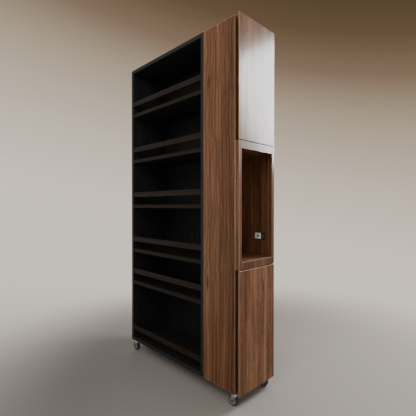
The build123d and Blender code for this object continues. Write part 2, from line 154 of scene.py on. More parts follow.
# Wood with its fibres along Z: broad streaks, growth rings, dark lines, fibres and open pores
def makeWoodGrain():
    tree, given, exitNode = newGroup(
        "woodGrain",
        {
            "Position": "Vector",
            "Layout": 0.5,
            "Dark": (0.03, 0.013, 0.006, 1),
            "Middle": (0.1, 0.045, 0.022, 1),
            "Light": (0.2, 0.1, 0.055, 1),
            "Streaks": 0.5,
            "Figure": 0.3,
            "Pores": 0.4,
            "Lines": 0.0,
        },
        {"Color": "Color", "Roughness": "Float", "Height": "Float", "Gloss": "Float"},
    )
    sway = swayOf(tree, fibreNoise(tree, given["Position"], 0.55, 3.2), woodLook["wander"])
    swayVector = addNode(tree, "ShaderNodeCombineXYZ", {0: sway, 1: sway}).outputs[0]
    bent = addVectorMath(tree, "ADD", given["Position"], swayVector)
    layers = {}
    for name, (*settings, _) in woodLook["layers"].items():
        layers[name] = fibreNoise(tree, bent, *settings)
    for name in ("narrow", "fine"):
        layers[name] = ramped(tree, layers[name], *woodLook["streakEdges"])
    rings = addNode(
        tree,
        "ShaderNodeTexWave",
        {"Vector": bent, **woodLook["rings"]},
        wave_type="RINGS",
        rings_direction="Z",
        wave_profile="SIN",
    )
    terms = [(given["Layout"], 1.0)]
    for name, (*_, weight) in woodLook["layers"].items():
        terms.append((layers[name], addMath(tree, "MULTIPLY", given["Streaks"], weight)))
    terms.append((rings.outputs["Fac"], given["Figure"]))
    tone = 0.5
    for value, weight in terms:
        tone = addMath(tree, "ADD", swayOf(tree, value, weight), tone)
    darkShare = addMath(tree, "MULTIPLY", tone, 2.0, clamp=True)
    lightShare = addMath(tree, "MULTIPLY_ADD", tone, 2.0, -1.0, clamp=True)
    wood = mixColour(tree, darkShare, given["Dark"], given["Middle"])
    wood = mixColour(tree, lightShare, wood, given["Light"])
    lines = ramped(tree, fibreNoise(tree, bent, *woodLook["lines"]), *woodLook["lineEdges"])
    wood = mixColour(tree, addMath(tree, "MULTIPLY", lines, given["Lines"]), wood, given["Dark"])
    pores = ramped(tree, fibreNoise(tree, bent, *woodLook["pores"]), *woodLook["poreEdges"])
    pores = addMath(tree, "MULTIPLY", pores, given["Pores"])
    poreShare = addMath(tree, "MULTIPLY", pores, woodLook["poreDepth"])
    colour = mixColour(tree, poreShare, wood, given["Dark"])
    roughness = addMath(tree, "MULTIPLY_ADD", layers["fibres"], 0.16, 0.34)
    roughness = addMath(tree, "ADD", roughness, addMath(tree, "MULTIPLY", pores, 0.2))
    height = addMath(tree, "SUBTRACT", addMath(tree, "MULTIPLY", layers["fibres"], 0.6), pores)
    unevenness = addMath(tree, "ADD", layers["narrow"], layers["fine"])
    gloss = addMath(tree, "MULTIPLY_ADD", unevenness, 0.16, 0.84)
    results = {"Color": colour, "Roughness": roughness, "Height": height, "Gloss": gloss}
    return finishGroup(tree, exitNode, results)


# Shares of a knot's spread over which its core fades, how dark the core is, and how far the fibres part
knotLook = {"coreEdges": (0.06, 0.34), "coreDepth": 0.85, "parting": 0.82}


# A knot: the fibres part round a centre, and its core is dark
def makeGrainKnot():
    tree, given, exitNode = newGroup(
        "grainKnot",
        {"Position": "Vector", "Bent": "Vector", "Centre": (0, 0, 0), "Spread": (0.03, 0.03, 0.1)},
        {"Bent": "Vector", "Core": "Float"},
    )
    away = addVectorMath(tree, "SUBTRACT", given["Position"], given["Centre"])
    share = addVectorMath(tree, "DIVIDE", away, given["Spread"])
    distance = addVectorMath(tree, "LENGTH", share, output="Value")
    pull = ramped(tree, distance, 0.0, 1.0, knotLook["parting"], 0.0)
    across = addVectorMath(tree, "MULTIPLY", away, (1.0, 1.0, 0.0))
    shift = addNode(tree, "ShaderNodeVectorMath", {0: across, "Scale": pull}, operation="SCALE").outputs[0]
    bent = addVectorMath(tree, "SUBTRACT", given["Bent"], shift)
    core = ramped(tree, distance, *knotLook["coreEdges"], knotLook["coreDepth"], 0.0)
    return finishGroup(tree, exitNode, {"Bent": bent, "Core": core})


# How near a point of a rectangular board is to one of its edges, or to the edges of an opening cut in it. The mask
# places the painted edge highlight and the stronger edge coat
def makeBoardEdges():
    tree, given, exitNode = newGroup(
        "boardEdges",
        {
            "Position": "Vector",
            "Low": "Vector",
            "High": "Vector",
            "Hole Low": (50, 50, 50),
            "Hole High": (51, 51, 51),
            "Width": 0.002,
        },
        {"Mask": "Float"},
    )

    def fromTo(first, second):
        difference = addVectorMath(tree, "SUBTRACT", given[second], given[first])
        return addNode(tree, "ShaderNodeSeparateXYZ", {0: difference}).outputs

    fromLow, fromHigh = fromTo("Low", "Position"), fromTo("Position", "High")
    toHole, pastHole = fromTo("Position", "Hole Low"), fromTo("Hole High", "Position")
    dx, dy, dz = (addMath(tree, "MINIMUM", fromLow[i], fromHigh[i]) for i in range(3))
    least = addMath(tree, "MINIMUM", dx, dz)
    most = addMath(tree, "MAXIMUM", dx, dz)
    outer = addMath(tree, "MAXIMUM", least, addMath(tree, "MINIMUM", most, dy))
    holeX, holeZ = (addMath(tree, "MAXIMUM", toHole[i], pastHole[i]) for i in (0, 2))
    inner = addMath(tree, "MAXIMUM", addMath(tree, "MAXIMUM", holeX, holeZ), dy)
    nearest = addMath(tree, "MINIMUM", outer, inner)
    chatter = noiseAt(tree, given["Position"], 60.0, 3.0)
    reach = addMath(tree, "MULTIPLY", given["Width"], addMath(tree, "ADD", chatter, 0.6))
    highlightAndCoatMask = addMath(tree, "SUBTRACT", 1.0, addMath(tree, "DIVIDE", nearest, reach), clamp=True)
    return finishGroup(tree, exitNode, {"Mask": highlightAndCoatMask})


# Small scale unevenness of a surface that was moulded, cast, pressed or plated
def makeSurfaceNoise():
    tree, given, exitNode = newGroup(
        "surfaceNoise",
        {"Position": "Vector", "Grain": 900.0, "Cloud": 25.0, "Roughness Low": 0.3, "Roughness High": 0.5},
        {"Cloud": "Float", "Roughness": "Float", "Height": "Float"},
    )
    cloud = noiseAt(tree, given["Position"], given["Cloud"], 4.0, 0.6)
    grain = noiseAt(tree, given["Position"], given["Grain"], 2.0, 0.6)
    blend = addMath(tree, "MULTIPLY_ADD", grain, 0.4, addMath(tree, "MULTIPLY", cloud, 0.6))
    roughness = ramped(tree, blend, 0.3, 0.7, given["Roughness Low"], given["Roughness High"])
    return finishGroup(tree, exitNode, {"Cloud": cloud, "Roughness": roughness, "Height": grain})


woodGrain = makeWoodGrain()
grainKnot = makeGrainKnot()
boardEdges = makeBoardEdges()
surfaceNoise = makeSurfaceNoise()
print("shared shader groups built")


# A material whose shader has the constants set, with the object's own coordinates
def newMaterial(name, **constants):
    material = bpy.data.materials.new(name)
    material.use_nodes = True
    tree = material.node_tree
    shader = tree.nodes["Principled BSDF"]
    for label, value in constants.items():
        shader.inputs[label].default_value = value
    position = addNode(tree, "ShaderNodeTexCoord").outputs["Object"]
    return material, tree, shader, position


def linkFinish(tree, shader, colour, roughness, height, strength, distance=0.0002):
    tree.links.new(colour, shader.inputs["Base Color"])
    tree.links.new(roughness, shader.inputs["Roughness"])
    sockets = {"Height": height, "Strength": strength, "Distance": distance}
    tree.links.new(addNode(tree, "ShaderNodeBump", sockets).outputs["Normal"], shader.inputs["Normal"])


# Turns the fibres, which the grain group runs along Z, to another axis of the cart
fibreTurns = {"Z": (0, 0, 0), "Y": (math.radians(90), 0, 0), "X": (0, math.radians(90), 0)}


def turnedFibres(tree, position, fibres, shift=(0, 0, 0)):
    sockets = {"Vector": position, "Location": shift, "Rotation": fibreTurns[fibres]}
    return addNode(tree, "ShaderNodeMapping", sockets).outputs[0]


walnutTones = {
    "Dark": (0.036, 0.0145, 0.0065, 1),
    "Middle": (0.143, 0.0605, 0.0272, 1),
    "Light": (0.282, 0.144, 0.074, 1),
}
walnutLook = {
    "streaks": 0.55,
    "figure": 0.16,
    "pores": 0.45,
    "lines": 0.55,
    "coat": 0.0,
    "gloss": 0.2,
    "arris": 0.0025,
    "arrisCoat": 0.9,
    "knots": (),
}
# Paler brown painted along a board's eased edges: a painted highlight standing in for light caught by the edge
paintedEdgeHighlight = (0.35, 0.24, 0.155, 1)


# Walnut veneer. Across is an axis, its two ends and (share of the width, tone) bands. A board with eased
# edges has a thin coat too, which is strongest along them, and a paler brown painted along them as a highlight
def walnutMaterial(name, fibres="Z", shift=(0, 0, 0), across=None, edge=None, **settings):
    look = {**walnutLook, **settings}
    constants = {"Coat Roughness": 0.19, "Specular IOR Level": look["gloss"]}
    material, tree, shader, position = newMaterial(name, **constants)
    parted = position
    cores = 0.0
    for centre, spread in look["knots"]:
        inputs = {"Position": position, "Bent": parted, "Centre": centre, "Spread": spread}
        knot = placeGroup(tree, grainKnot, inputs)
        parted = knot["Bent"]
        cores = addMath(tree, "MAXIMUM", knot["Core"], cores)
    inputs = {"Position": turnedFibres(tree, parted, fibres, shift), **walnutTones}
    inputs.update({label: look[label.lower()] for label in ("Streaks", "Figure", "Pores", "Lines")})
    if across:
        inputs["Layout"] = veneerLayout(tree, position, *across)
    grain = placeGroup(tree, woodGrain, inputs)
    colour = grain["Color"]
    if look["knots"]:
        colour = mixColour(tree, cores, colour, walnutTones["Dark"])
    if edge:
        inputs = {"Position": position, "Width": look["arris"], **edge}
        highlightAndCoatMask = placeGroup(tree, boardEdges, inputs)["Mask"]
        # Painted highlight: the edge band is painted a paler brown
        colour = mixColour(tree, highlightAndCoatMask, colour, paintedEdgeHighlight)
        coat = addMath(tree, "MULTIPLY", grain["Gloss"], look["coat"])
        coat = addMath(tree, "MAXIMUM", coat, addMath(tree, "MULTIPLY", highlightAndCoatMask, look["arrisCoat"]))
        tree.links.new(coat, shader.inputs["Coat Weight"])
    linkFinish(tree, shader, colour, grain["Roughness"], grain["Height"], 0.25, 0.0003)
    return material


# A sheet of veneer is lighter and darker in bands that run its whole length
def veneerLayout(tree, position, axis, low, high, stops):
    wander = noiseAt(tree, addVectorMath(tree, "MULTIPLY", position, (2.0, 2.0, 1.3)), 2.4, 1.0)
    coordinate = addNode(tree, "ShaderNodeSeparateXYZ", {0: position}).outputs[axis]
    swayed = addMath(tree, "ADD", coordinate, swayOf(tree, wander, 0.03))
    sockets = {"Value": swayed, "From Min": low, "From Max": high}
    share = addNode(tree, "ShaderNodeMapRange", sockets).outputs["Result"]
    ramp = addNode(tree, "ShaderNodeValToRGB", {"Fac": share})
    ramp.color_ramp.interpolation = "B_SPLINE"
    fillRamp(ramp.color_ramp, [(place, (tone, tone, tone, 1)) for place, tone in stops])
    return ramp.outputs["Color"]


# Black melamine board with a faint pressed grain; its front edge can be banded in another colour
def laminateMaterial(name, colour, fibres="Y", band=None):
    material, tree, shader, position = newMaterial(name, **{"Specular IOR Level": 0.12})
    lighter = [channel * 1.9 for channel in colour]
    tones = {"Dark": (*colour, 1), "Middle": (*colour, 1), "Light": (*lighter, 1)}
    inputs = {"Position": turnedFibres(tree, position, fibres), "Streaks": 0.9, "Pores": 0.3, **tones}
    grain = placeGroup(tree, woodGrain, inputs)
    shade = grain["Color"]
    if band:
        bandColour, bandEdge = band
        x = addNode(tree, "ShaderNodeSeparateXYZ", {0: position}).outputs[0]
        shade = mixColour(tree, ramped(tree, x, bandEdge, bandEdge + 0.0002), (*bandColour, 1), shade)
    inputs = {"Position": position, "Cloud": 9.0, "Roughness Low": 0.5, "Roughness High": 0.58}
    rough = placeGroup(tree, surfaceNoise, inputs)
    linkFinish(tree, shader, shade, rough["Roughness"], grain["Height"], 0.12)
    return material


# Metals, plastics and rubber share this: a body colour that clouds towards a second one
def plainMaterial(name, colour, second, roughness, metallic=0.0, cloud=25.0, relief=0.05):
    material, tree, shader, position = newMaterial(name, Metallic=metallic)
    low, high = roughness
    inputs = {"Position": position, "Cloud": cloud, "Roughness Low": low, "Roughness High": high}
    noise = placeGroup(tree, surfaceNoise, inputs)
    shade = mixColour(tree, ramped(tree, noise["Cloud"], 0.42, 0.66), (*colour, 1), (*second, 1))
    linkFinish(tree, shader, shade, noise["Roughness"], noise["Height"], relief)
    return material


doorLow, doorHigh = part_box("lower_door_panel")
sideLow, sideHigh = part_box("column_left_panel")
# Tones of the veneer across a board, as (share of the width, tone)
lowerDoorBands = (
    (0.0, 0.42),
    (0.13, 0.46),
    (0.19, 0.3),
    (0.25, 0.66),
    (0.34, 0.7),
    (0.48, 0.58),
    (0.54, 0.34),
    (0.61, 0.5),
    (0.71, 0.5),
    (0.74, 0.82),
    (0.78, 0.46),
    (0.9, 0.4),
    (1.0, 0.44),
)
frameBands = ((0.0, 0.44), (0.14, 0.44), (0.2, 0.29), (0.8, 0.29), (0.87, 0.3), (1.0, 0.3))
sideBands = (
    (0.0, 0.31),
    (0.15, 0.25),
    (0.3, 0.41),
    (0.42, 0.4),
    (0.52, 0.58),
    (0.62, 0.42),
    (0.74, 0.5),
    (0.86, 0.62),
    (1.0, 0.6),
)


# The box whose edges are eased and carry the painted highlight. A plain edge, in a shadow gap, is left out by
# moving that side away
def boardEdge(node, plain=()):
    low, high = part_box(node)
    if "bottom" in plain:
        low.z -= 1
    if "top" in plain:
        high.z += 1
    return {"Low": tuple(low), "High": tuple(high)}


nicheFrame = {"stileShare": 22 / 335}


def holeInFrame():
    low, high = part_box("niche_frame")
    floor, ceiling = (corner.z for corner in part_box("niche_back_panel"))
    stile = (high.x - low.x) * nicheFrame["stileShare"]
    return {"Hole Low": (low.x + stile, 0, floor), "Hole High": (high.x - stile, 0, ceiling)}


# Knots on a board's outer face as (share of its width, share of its height, half width, half height)
def knotsOn(node, axis, places):
    low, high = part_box(node)
    size = high - low
    knots = []
    for across, up, halfWidth, halfHeight in places:
        centre = low.copy()
        centre[axis] += across * size[axis]
        centre.z += up * size.z
        knots.append((tuple(centre), (halfWidth, halfWidth, halfHeight)))
    return knots


lowerDoorKnots = knotsOn("lower_door_panel", 0, ((0.67, 0.83, 0.034, 0.17), (0.79, 0.3, 0.032, 0.11)))
sideKnots = knotsOn("column_left_panel", 1, ((0.82, 0.85, 0.042, 0.19), (0.86, 0.28, 0.044, 0.24)))
acrossDoor = (0, doorLow.x, doorHigh.x)
acrossSide = (1, sideLow.y, sideHigh.y)
doorLook = {"coat": 0.35, "gloss": 0.03}
bothEnds = ("bottom", "top")

# Boards seen from outside: name, bands across, eased edges with their painted highlight and the rest of the look
walnutBoards = {
    "lower_door_panel": (
        "walnutLowerDoor",
        (*acrossDoor, lowerDoorBands),
        boardEdge("lower_door_panel", ("bottom",)),
        {"knots": lowerDoorKnots, **doorLook},
    ),
    "upper_door_panel": (
        "walnutUpperDoor",
        (*acrossDoor, lowerDoorBands),
        boardEdge("upper_door_panel", bothEnds),
        doorLook,
    ),
    "niche_frame": (
        "walnutNicheFrame",
        (*acrossDoor, frameBands),
        {**boardEdge("niche_frame", bothEnds), **holeInFrame()},
        doorLook,
    ),
    "column_left_panel": (
        "walnutLeftSide",
        (*acrossSide, sideBands),
        boardEdge("column_left_panel"),
        {"knots": sideKnots},
    ),
    "column_right_panel": (
        "walnutRightSide",
        (*acrossSide, sideBands),
        boardEdge("column_right_panel"),
        {"shift": (0.4, 0.2, 0)},
    ),
}
walnutFor = {
    node: walnutMaterial(name, across=across, edge=edge, **look)
    for node, (name, across, edge, look) in walnutBoards.items()
}
walnutBack = walnutMaterial("walnutNicheBack", shift=(0.7, 0, 0))
walnutLevel = walnutMaterial("walnutLevelBoards", fibres="X", shift=(0, 0.3, 0.2))

# Black boards: the front edge of the carcass is a little paler, and the shelves' front edge is dark brown
blackLook = {
    "carcass": (0.0108, 0.011, 0.0114),
    "carcassBand": (0.0185, 0.018, 0.0162),
    "shelf": (0.0105, 0.0105, 0.0105),
    "rail": (0.013, 0.0085, 0.0056),
    "bandDepth": 0.001,
}
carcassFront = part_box("divider_panel")[0].x + blackLook["bandDepth"]
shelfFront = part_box("shelf_1")[0].x + blackLook["bandDepth"]
carcassBand = (blackLook["carcassBand"], carcassFront)
blackCarcass = laminateMaterial("blackCarcass", blackLook["carcass"], "Z", carcassBand)
blackShelf = laminateMaterial("blackShelf", blackLook["shelf"], band=(blackLook["rail"], shelfFront))
darkRail = laminateMaterial("darkRail", blackLook["rail"])

# Plain finishes: body colour, second colour, lowest and highest roughness, and the rest
plainLooks = {
    "blackAnodised": ((0.012, 0.011, 0.011), (0.02, 0.018, 0.017), (0.32, 0.45), {"metallic": 0.8}),
    "blackPlastic": ((0.012, 0.012, 0.013), (0.018, 0.018, 0.018), (0.35, 0.5), {}),
    "whitePlastic": ((0.86, 0.85, 0.81), (0.8, 0.78, 0.73), (0.28, 0.42), {}),
    "nickelSteel": ((0.6, 0.58, 0.55), (0.5, 0.48, 0.45), (0.24, 0.42), {"metallic": 1.0}),
    "blackZinc": ((0.1, 0.1, 0.1), (0.06, 0.06, 0.065), (0.3, 0.5), {"metallic": 1.0}),
    "brightZinc": ((0.66, 0.66, 0.65), (0.5, 0.5, 0.51), (0.16, 0.36), {"metallic": 1.0, "cloud": 80.0}),
    "boltSteel": ((0.07, 0.07, 0.072), (0.04, 0.04, 0.04), (0.3, 0.5), {"metallic": 0.9}),
    "greyNylon": ((0.2, 0.197, 0.192), (0.155, 0.152, 0.147), (0.38, 0.55), {"cloud": 60.0}),
    "tyreRubber": (
        (0.011, 0.0107, 0.0105),
        (0.026, 0.0245, 0.023),
        (0.62, 0.85),
        {"cloud": 45.0, "relief": 0.2},
    ),
}
anodised, blackPlastic, whitePlastic, nickel, blackZinc, brightZinc, boltSteel, greyNylon, tyreRubber = (
    plainMaterial(name, colour, second, roughness, **rest)
    for name, (colour, second, roughness, rest) in plainLooks.items()
)

finishOf = {
    "walnut_side": walnutFor["column_left_panel"],
    "walnut_inside": walnutLevel,
    "walnut_door": walnutFor["upper_door_panel"],
    "walnut_frame": walnutFor["niche_frame"],
    "black_board": blackCarcass,
    "guard_rail": darkRail,
    "grip_profile": anodised,
    "black_plastic": blackPlastic,
    "white_plastic": whitePlastic,
    "steel": nickel,
    "screw_zinc": blackZinc,
    "castor_zinc": brightZinc,
    "fork_zinc": brightZinc,
    "axle_black": boltSteel,
    "wheel_grey": greyNylon,
    "tyre_black": tyreRubber,
}
finishByNode = {**walnutFor, "niche_back_panel": walnutBack}
finishByNode.update({f"shelf_{number}": blackShelf for number in range(1, 6)})
for part in frame["record"]["subparts"]:
    node = nodes[part["node"]]
    finish = finishByNode.get(part["node"], finishOf[part["material_slot"]])
    for materialSlot in node.material_slots:
        materialSlot.material = finish
print("materials built and put on the boards and fittings")


# Cuts each corner of an outline with a curve; points are (x, y) or (x, y, cut length)
def softened(points, closed=True, steps=5):
    count = len(points)
    outline = []
    for index, (x, y, *cut) in enumerate(points):
        if not cut or (not closed and index in (0, count - 1)):
            outline.append((x, y))
            continue
        corner = Vector((x, y))
        ends = []
        for neighbour in (points[index - 1], points[(index + 1) % count]):
            side = Vector(neighbour[:2]) - corner
            ends.append(corner + side.normalized() * min(cut[0], side.length * 0.49))
        for step in range(steps + 1):
            t = step / steps
            outline.append(tuple(ends[0] * (1 - t) ** 2 + corner * 2 * t * (1 - t) + ends[1] * t**2))
    return outline


def roundedRectangle(width, height, radius, steps=6):
    x, y = width / 2, height / 2
    return softened([(-x, -y, radius), (x, -y, radius), (x, y, radius), (-x, y, radius)], steps=steps)


# Joins rings of points with faces. A ring of one point shuts an end; looped joins the last ring to the first
def skinRings(shape, rings, looped=False, material=0):
    made = [[shape.verts.new(point) for point in ring] for ring in rings]
    pairs = list(zip(made, made[1:]))
    if looped:
        pairs.append((made[-1], made[0]))
    for first, second in pairs:
        count = max(len(first), len(second))
        for i in range(count):
            j = i + 1
            ends = [ring[k % len(ring)] for ring, k in ((first, i), (first, j), (second, j), (second, i))]
            corners = list(dict.fromkeys(ends))
            if len(corners) > 2:
                shape.faces.new(corners).material_index = material
    return made


def circlePoints(radius, count, start=0.0):
    angles = [start + 2 * math.pi * step / count for step in range(count)]
    return [(radius * math.cos(angle), radius * math.sin(angle)) for angle in angles]


# Turns a half section of (along, radius) points about the local Z axis of a place
def turnSection(shape, section, place, segments=64, looped=False, material=0):
    rings = []
    for along, radius in section:
        circle = circlePoints(radius, segments if radius > 0 else 1)
        rings.append([place @ Vector((*point, along)) for point in circle])
    skinRings(shape, rings, looped, material)


# A place at a point whose local Z looks along a direction
def placeFacing(point, direction):
    return Matrix.Translation(point) @ Vector(direction).to_track_quat("Z", "Y").to_matrix().to_4x4()


def addObject(name, data):
    added = bpy.data.objects.new(name, data)
    bpy.context.scene.collection.objects.link(added)
    return added


def addShape(name, shape, materials=()):
    for face in shape.faces:
        face.smooth = True
    mesh = bpy.data.meshes.new(name)
    shape.to_mesh(mesh)
    shape.free()
    for material in materials:
        mesh.materials.append(material)
    return addObject(name, mesh)


# A closed shape whose edges stay sharp from the crease angle on
def makePiece(name, shape, materials=(), crease=32):
    bmesh.ops.recalc_face_normals(shape, faces=shape.faces)
    for edge in shape.edges:
        edge.smooth = edge.is_manifold and edge.calc_face_angle(0) < math.radians(crease)
    return addShape(name, shape, materials)


# Turns a piece with its modifiers into a plain mesh
def settle(piece):
    bpy.context.view_layer.update()
    mesh = bpy.data.meshes.new_from_object(piece.evaluated_get(bpy.context.evaluated_depsgraph_get()))
    mesh.name = piece.name
    piece.modifiers.clear()
    piece.data = mesh
    return piece


def addBevel(piece, width, segments=2, angle=35):
    bevel = piece.modifiers.new("softEdges", "BEVEL")
    bevel.width = width
    bevel.segments = segments
    bevel.limit_method = "ANGLE"
    bevel.angle_limit = math.radians(angle)
    bevel.harden_normals = True
    return settle(piece)


def attach(piece, body, slotName, *replaced):
    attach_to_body(piece, body)
    if replaced:
        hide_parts(*replaced)
    return piece


# Every tree ends the same way: its copies made real, and one finish put on them
def endTree(tree, exitNode, geometry, finish):
    real = addNode(tree, "GeometryNodeRealizeInstances", {"Geometry": geometry}).outputs[0]
    sockets = {"Geometry": real, "Material": finish}
    finished = addNode(tree, "GeometryNodeSetMaterial", sockets).outputs[0]
    return finishGroup(tree, exitNode, {"Geometry": finished})


# Geometry Nodes: copies one fastener to every point, facing the point's direction, each turned by chance
def makeFastenerField():
    tree, given, exitNode = newGroup(
        "fastenerField",
        {"Points": "Geometry", "Fastener": "Object", "Turn": 0.0, "Seed": 7, "Finish": "Material"},
        {"Geometry": "Geometry"},
        "GeometryNodeTree",
    )
    sockets = {"Name": "outward"}
    outward = addNode(tree, "GeometryNodeInputNamedAttribute", sockets, data_type="FLOAT_VECTOR")
    sockets = {"Vector": outward.outputs["Attribute"]}
    facing = addNode(tree, "FunctionNodeAlignRotationToVector", sockets, axis="Z").outputs["Rotation"]
    chance = addNode(tree, "FunctionNodeRandomValue", {"Seed": given["Seed"]}, data_type="FLOAT")
    tree.links.new(given["Turn"], chance.inputs[3])
    roll = addNode(tree, "ShaderNodeCombineXYZ", {2: chance.outputs[1]}).outputs[0]
    sockets = {"Rotation": facing, "Rotate By": roll}
    turned = addNode(tree, "FunctionNodeRotateRotation", sockets, rotation_space="LOCAL").outputs[0]
    fastener = addNode(tree, "GeometryNodeObjectInfo", {"Object": given["Fastener"]}).outputs["Geometry"]
    sockets = {"Points": given["Points"], "Instance": fastener, "Rotation": turned}
    copies = addNode(tree, "GeometryNodeInstanceOnPoints", sockets).outputs[0]
    return endTree(tree, exitNode, copies, given["Finish"])


# Geometry Nodes: sets the same rib round both faces of a disc that turns about X
def makeRibbedDisc():
    tree, given, exitNode = newGroup(
        "ribbedDisc",
        {
            "Disc": "Geometry",
            "Rib": "Object",
            "Count": 6,
            "Ring Radius": 0.01,
            "Centre": (0, 0, 0),
            "Finish": "Material",
        },
        {"Geometry": "Geometry"},
        "GeometryNodeTree",
    )
    sockets = {"Vertices": given["Count"], "Radius": given["Ring Radius"]}
    ring = addNode(tree, "GeometryNodeMeshCircle", sockets).outputs[0]
    index = addNode(tree, "GeometryNodeInputIndex").outputs[0]
    step = addMath(tree, "DIVIDE", 2 * math.pi, given["Count"])
    turn = addNode(tree, "ShaderNodeCombineXYZ", {2: addMath(tree, "MULTIPLY", index, step)}).outputs[0]
    rib = addNode(tree, "GeometryNodeObjectInfo", {"Object": given["Rib"]}).outputs["Geometry"]
    sockets = {"Points": ring, "Instance": rib, "Rotation": turn}
    ribs = addNode(tree, "GeometryNodeInstanceOnPoints", sockets).outputs[0]
    joined = addNode(tree, "GeometryNodeJoinGeometry")
    tree.links.new(given["Disc"], joined.inputs[0])
    for quarter in (-math.pi / 2, math.pi / 2):
        sockets = {"Geometry": ribs, "Translation": given["Centre"], "Rotation": (0, quarter, 0)}
        tree.links.new(addNode(tree, "GeometryNodeTransform", sockets).outputs[0], joined.inputs[0])
    return endTree(tree, exitNode, joined.outputs[0], given["Finish"])


# Runs a Geometry Nodes tree on a piece and keeps its result as a plain mesh
def runTree(piece, tree, values):
    modifier = piece.modifiers.new(tree.name, "NODES")
    modifier.node_group = tree
    for item in tree.interface.items_tree:
        if item.in_out == "INPUT" and item.name in values:
            modifier[item.identifier] = values[item.name]
    return settle(piece)


fastenerField = makeFastenerField()
ribbedDisc = makeRibbedDisc()
print("Geometry Nodes trees built")


# One turned blank of each fastener, copied to its points. The radii are the shank's and the head's, and the
# cross recess has a reach, a half width and a depth
fasteners = {
    "longScrew": {"radii": (0.0025, 0.005), "rise": 0.0, "length": 0.058, "cross": (0.003, 0.0008, 0.0018)},
    "castorScrew": {
        "radii": (0.00175, 0.0034),
        "rise": 0.002,
        "length": 0.016,
        "cross": (0.0019, 0.0005, 0.0013),
    },
    "hingeScrew": {
        "radii": (0.0014, 0.0028),
        "rise": 0.0014,
        "length": 0.012,
        "cross": (0.0016, 0.0004, 0.001),
    },
    "shelfPin": {"radius": 0.0025, "hold": 0.009, "reach": 0.007},
    "sides": 32,
    "screwShare": 0.3,
    "castorHalfSpacing": 0.014,
    "hingeEnd": 0.095,
    "hingeScrewOffset": 0.018,
}


# Outline of a cross recess, 32 points that start on the +X arm
def crossOutline(reach, half, depth):
    quarter = [(reach, 0), (reach, half), (half, half), (half, reach)]
    corners = []
    for turn in range(4):
        c, s = round(math.cos(turn * math.pi / 2)), round(math.sin(turn * math.pi / 2))
        corners += [(x * c - y * s, x * s + y * c) for x, y in quarter]
    outline = []
    for first, second in zip(corners, corners[1:] + corners[:1]):
        outline.append(Vector((*first, depth)))
        outline.append(Vector(((first[0] + second[0]) / 2, (first[1] + second[1]) / 2, depth)))
    return outline


# A screw with its seat at the origin and its driving face towards +Z: sunk flush, or with a domed pan head
def screwBlank(name, sizes):
    reach, half, depth = sizes["cross"]
    shank, head = sizes["radii"]
    length, rise = sizes["length"], sizes["rise"]
    if rise:
        under = [(rise * 0.9, head * 0.78), (rise * 0.62, head * 0.94)]
        under += [(rise * 0.25, head), (0.0, head * 0.97)]
    else:
        under = [(-0.0001, head * 0.985), (-0.0005, head * 0.94), (shank - head, shank * 1.05)]
    neck = min(0.0, under[-1][0]) - 0.0002
    section = [(rise, head * 0.6 if rise else head * 0.97), *under, (neck, shank)]
    section += [(-length + 2.2 * shank, shank), (-length, shank * 0.12)]
    rings = [
        crossOutline(reach * 0.55, half * 0.5, rise - depth),
        crossOutline(reach * 0.93, half * 0.95, rise - 0.15 * depth),
        crossOutline(reach, half, rise),
    ]
    for along, radius in section:
        rings.append([Vector((*point, along)) for point in circlePoints(radius, fasteners["sides"])])
    shape = bmesh.new()
    made = skinRings(shape, rings)
    shape.faces.new(made[0])
    shape.faces.new(made[-1])
    return makePiece(name, shape, crease=28)


# A shelf pin that lies along +Z, half in the side board and half under the loose shelf
def pinBlank(name, sizes):
    radius, hold, reach = sizes["radius"], sizes["hold"], sizes["reach"]
    groove = radius - 0.0003
    section = [(-hold, 0), (-hold, radius - 0.0004), (-hold + 0.0004, radius), (-0.0002, radius)]
    section += [(0.0, groove), (0.0007, groove), (0.0009, radius), (reach - 0.0012, radius)]
    section += [(reach - 0.0004, radius - 0.0004), (reach, radius - 0.0012), (reach, 0)]
    shape = bmesh.new()
    turnSection(shape, section, Matrix(), fasteners["sides"])
    return makePiece(name, shape)


# Copies a blank to a list of (point, outward direction)
def setFasteners(name, blank, spots, finish, replaced, slotName, turn=math.pi, seed=7):
    mesh = bpy.data.meshes.new(name)
    mesh.from_pydata([tuple(point) for point, _ in spots], [], [])
    outward = mesh.attributes.new("outward", "FLOAT_VECTOR", "POINT")
    for index, (_, direction) in enumerate(spots):
        outward.data[index].vector = direction
    piece = addObject(name, mesh)
    runTree(piece, fastenerField, {"Fastener": blank, "Turn": turn, "Seed": seed, "Finish": finish})
    attach(piece, "cabinet", slotName, replaced)
    bpy.data.objects.remove(blank)


def middleOf(node):
    low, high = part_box(node)
    return (low + high) / 2


def jointPoint(name):
    return Vector(joints[name]["pos_m"])


def shelfScrewSpots():
    low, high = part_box("shelf_unit_screws")
    boards = ["shelf_unit_base", "shelf_unit_top"] + [f"shelf_{number}" for number in range(1, 6)]
    left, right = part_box("column_left_panel")[0].x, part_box("column_right_panel")[1].x
    aside = (right - left) * fasteners["screwShare"]
    places = [(x, middleOf(board).z) for board in boards for x in (-aside, aside)]
    rails = [middleOf(f"guard_rail_{number}") for number in range(1, 7)]
    places += [(rail.x, rail.z) for rail in rails]
    return [((x, y, z), (0, side, 0)) for y, side in ((high.y, 1), (low.y, -1)) for x, z in places]


def castorScrewSpots():
    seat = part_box("castor_plates")[1].z - castor["plateThickness"]
    half = fasteners["castorHalfSpacing"]
    centres = [jointPoint(f"{place}_swivel_turn") for place in castorPlaces]
    corners = [(dx, dy) for dx in (-half, half) for dy in (-half, half)]
    return [((centre.x + dx, centre.y + dy, seat), (0, 0, -1)) for centre in centres for dx, dy in corners]


def hingeScrewSpots():
    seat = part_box("carcass_hinge_screws")[0].x + fasteners["hingeScrew"]["rise"]
    y = middleOf("carcass_hinge_screws").y
    spots = []
    for door in ("lower_door_panel", "upper_door_panel"):
        low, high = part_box(door)
        for height in (low.z + fasteners["hingeEnd"], high.z - fasteners["hingeEnd"]):
            for side in (-1, 1):
                spots.append(((seat, y, height + side * fasteners["hingeScrewOffset"]), (-1, 0, 0)))
    return spots


